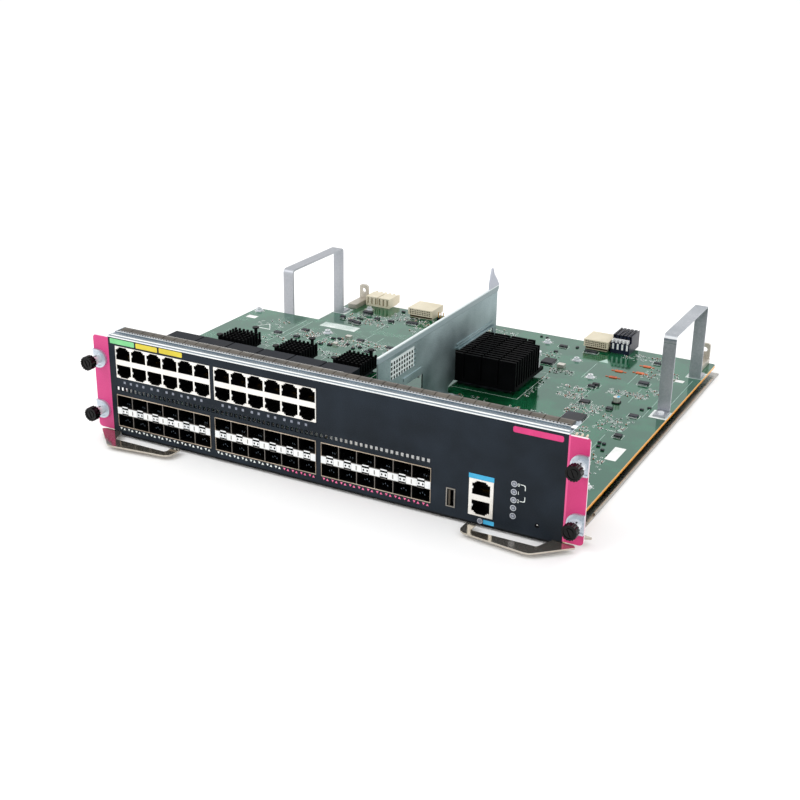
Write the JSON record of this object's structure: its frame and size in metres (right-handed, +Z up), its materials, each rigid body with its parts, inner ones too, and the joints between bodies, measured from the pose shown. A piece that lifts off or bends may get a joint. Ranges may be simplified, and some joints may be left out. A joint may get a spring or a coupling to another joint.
{
  "type": "switch engine module",
  "caption": "Plug-in switch engine module: open circuit board behind a front panel with rows of network ports, captive screws and ejector levers.",
  "frame": {"origin": "on the front panel's front face, at the middle of its lower edge", "axes": "+X to the right along the panel seen from the front, +Y back towards the rear connectors, +Z up from the boards"},
  "size_m": [0.3996, 0.4096, 0.0962],
  "materials": {
    "panel_paint": "fine satin texture",
    "ear_paint": "satin",
    "zinc_sheet": "zinc-plated, satin",
    "nickel": "bright nickel plate",
    "fabric_gasket": "conductive woven cover",
    "shield_metal": "tinned, satin",
    "board": "glossy green solder mask",
    "anodised_black": "matte black anodised",
    "black_plastic": "matte",
    "slate_plastic": "matte",
    "ivory_plastic": "matte",
    "clear_guide": "frosted",
    "steel": "turned",
    "gold": "gold plated"
  },
  "bodies": {
    "module": {"board_screws": "steel", "board_spacers": "steel", "bracket_left": "zinc_sheet", "bracket_right": "zinc_sheet", "coils_and_capacitor": "steel", "connector_pins": "gold", "control_jacks": "shield_metal", "divider_wall": "zinc_sheet", "ear_left": "ear_paint", "ear_right": "ear_paint", "front_panel": "panel_paint", "gasket_strip": "fabric_gasket", "guide_block_left": "ivory_plastic", "guide_block_right": "ivory_plastic", "header_left": "ivory_plastic", "header_right": "ivory_plastic", "heat_sink": "anodised_black", "jack_block_left": "shield_metal", "jack_block_right": "shield_metal", "jack_lights": "clear_guide", "large_chips": "black_plastic", "lever_pivots": "nickel", "light_guides": "clear_guide", "main_board": "board", "pin_header": "black_plastic", "pin_sink_left": "anodised_black", "pin_sink_middle": "anodised_black", "pin_sink_right": "anodised_black", "port_cage_left": "shield_metal", "port_cage_middle": "shield_metal", "port_cage_right": "shield_metal", "power_connector_black": "black_plastic", "power_connector_white": "ivory_plastic", "push_pins": "clear_guide", "reset_switch": "black_plastic", "screw_seats": "nickel", "screw_sleeves": "steel", "small_chips": "black_plastic", "status_lamps": "clear_guide", "top_strip": "nickel", "transformer_blocks": "slate_plastic", "tray": "zinc_sheet", "upper_board": "board", "upper_posts": "steel", "usb_socket": "shield_metal"},
    "lever_left_body": {"lever_left": "nickel"},
    "lever_right_body": {"lever_right": "nickel"},
    "reset_body": {"reset_button": "clear_guide"},
    "plunger_left_upper": {"ring_left_upper": "steel"},
    "screw_left_upper": {"knob_left_upper": "black_plastic", "shank_left_upper": "steel"},
    "plunger_left_lower": {"ring_left_lower": "steel"},
    "screw_left_lower": {"knob_left_lower": "black_plastic", "shank_left_lower": "steel"},
    "plunger_right_upper": {"ring_right_upper": "steel"},
    "screw_right_upper": {"knob_right_upper": "black_plastic", "shank_right_upper": "steel"},
    "plunger_right_lower": {"ring_right_lower": "steel"},
    "screw_right_lower": {"knob_right_lower": "black_plastic", "shank_right_lower": "steel"}
  },
  "joints": [
    {"name": "lever_left_swing", "type": "hinge", "parent": "module", "child": "lever_left_body", "pos_m": [-0.184, 0.009, 0.0019], "axis": [0, 0, 1], "range_deg": [-60, 0]},
    {"name": "lever_right_swing", "type": "hinge", "parent": "module", "child": "lever_right_body", "pos_m": [0.184, 0.009, 0.0019], "axis": [0, 0, 1], "range_deg": [0, 60]},
    {"name": "reset_press", "type": "slide", "parent": "module", "child": "reset_body", "axis": [0, 1, 0], "range_m": [0, 0.0004], "stiffness_N_per_m": 300, "springref_m": -0.0005},
    {"name": "left_upper_plunge", "type": "slide", "parent": "module", "child": "plunger_left_upper", "axis": [0, 1, 0], "range_m": [0, 0.0045], "stiffness_N_per_m": 300, "springref_m": -0.003},
    {"name": "left_upper_turn", "type": "hinge", "parent": "plunger_left_upper", "child": "screw_left_upper", "pos_m": [-0.1943, -0.01, 0.06], "axis": [0, 1, 0], "continuous": true},
    {"name": "left_lower_plunge", "type": "slide", "parent": "module", "child": "plunger_left_lower", "axis": [0, 1, 0], "range_m": [0, 0.0045], "stiffness_N_per_m": 300, "springref_m": -0.003},
    {"name": "left_lower_turn", "type": "hinge", "parent": "plunger_left_lower", "child": "screw_left_lower", "pos_m": [-0.1943, -0.01, 0.0187], "axis": [0, 1, 0], "continuous": true},
    {"name": "right_upper_plunge", "type": "slide", "parent": "module", "child": "plunger_right_upper", "axis": [0, 1, 0], "range_m": [0, 0.0045], "stiffness_N_per_m": 300, "springref_m": -0.003},
    {"name": "right_upper_turn", "type": "hinge", "parent": "plunger_right_upper", "child": "screw_right_upper", "pos_m": [0.1943, -0.01, 0.06], "axis": [0, 1, 0], "continuous": true},
    {"name": "right_lower_plunge", "type": "slide", "parent": "module", "child": "plunger_right_lower", "axis": [0, 1, 0], "range_m": [0, 0.0045], "stiffness_N_per_m": 300, "springref_m": -0.003},
    {"name": "right_lower_turn", "type": "hinge", "parent": "plunger_right_lower", "child": "screw_right_lower", "pos_m": [0.1943, -0.01, 0.0187], "axis": [0, 1, 0], "continuous": true}
  ]
}
